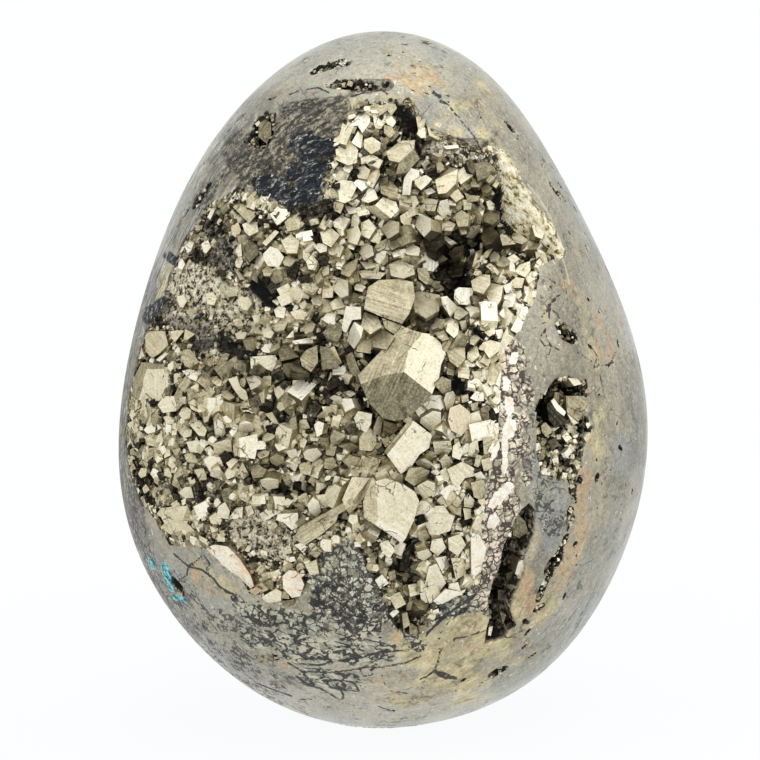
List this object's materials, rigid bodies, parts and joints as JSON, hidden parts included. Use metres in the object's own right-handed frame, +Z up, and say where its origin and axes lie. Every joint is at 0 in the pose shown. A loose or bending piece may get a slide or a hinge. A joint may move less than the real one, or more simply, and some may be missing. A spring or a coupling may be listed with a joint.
{
  "type": "pyrite egg",
  "caption": "Polished egg of natural pyrite that stands on its blunt end, with an open hollow of pyrite crystals in its front.",
  "frame": {"origin": "the middle of the flat foot, on the surface that the egg stands on", "axes": "+Z up through the egg's narrow end, -Y out of the crystal-lined hollow, +X to the right as seen from the front"},
  "size_m": [0.0614, 0.0594, 0.08],
  "materials": {
    "polished_ore": "polished metallic ore with dark hairline veins",
    "pyrite_crystal": "bright metallic crystal faces, finely striated"
  },
  "bodies": {
    "root": {"egg_body": "polished_ore", "druse_crust": "pyrite_crystal", "vug_crystals": "pyrite_crystal", "cleft_crystals": "pyrite_crystal"}
  },
  "joints": []
}
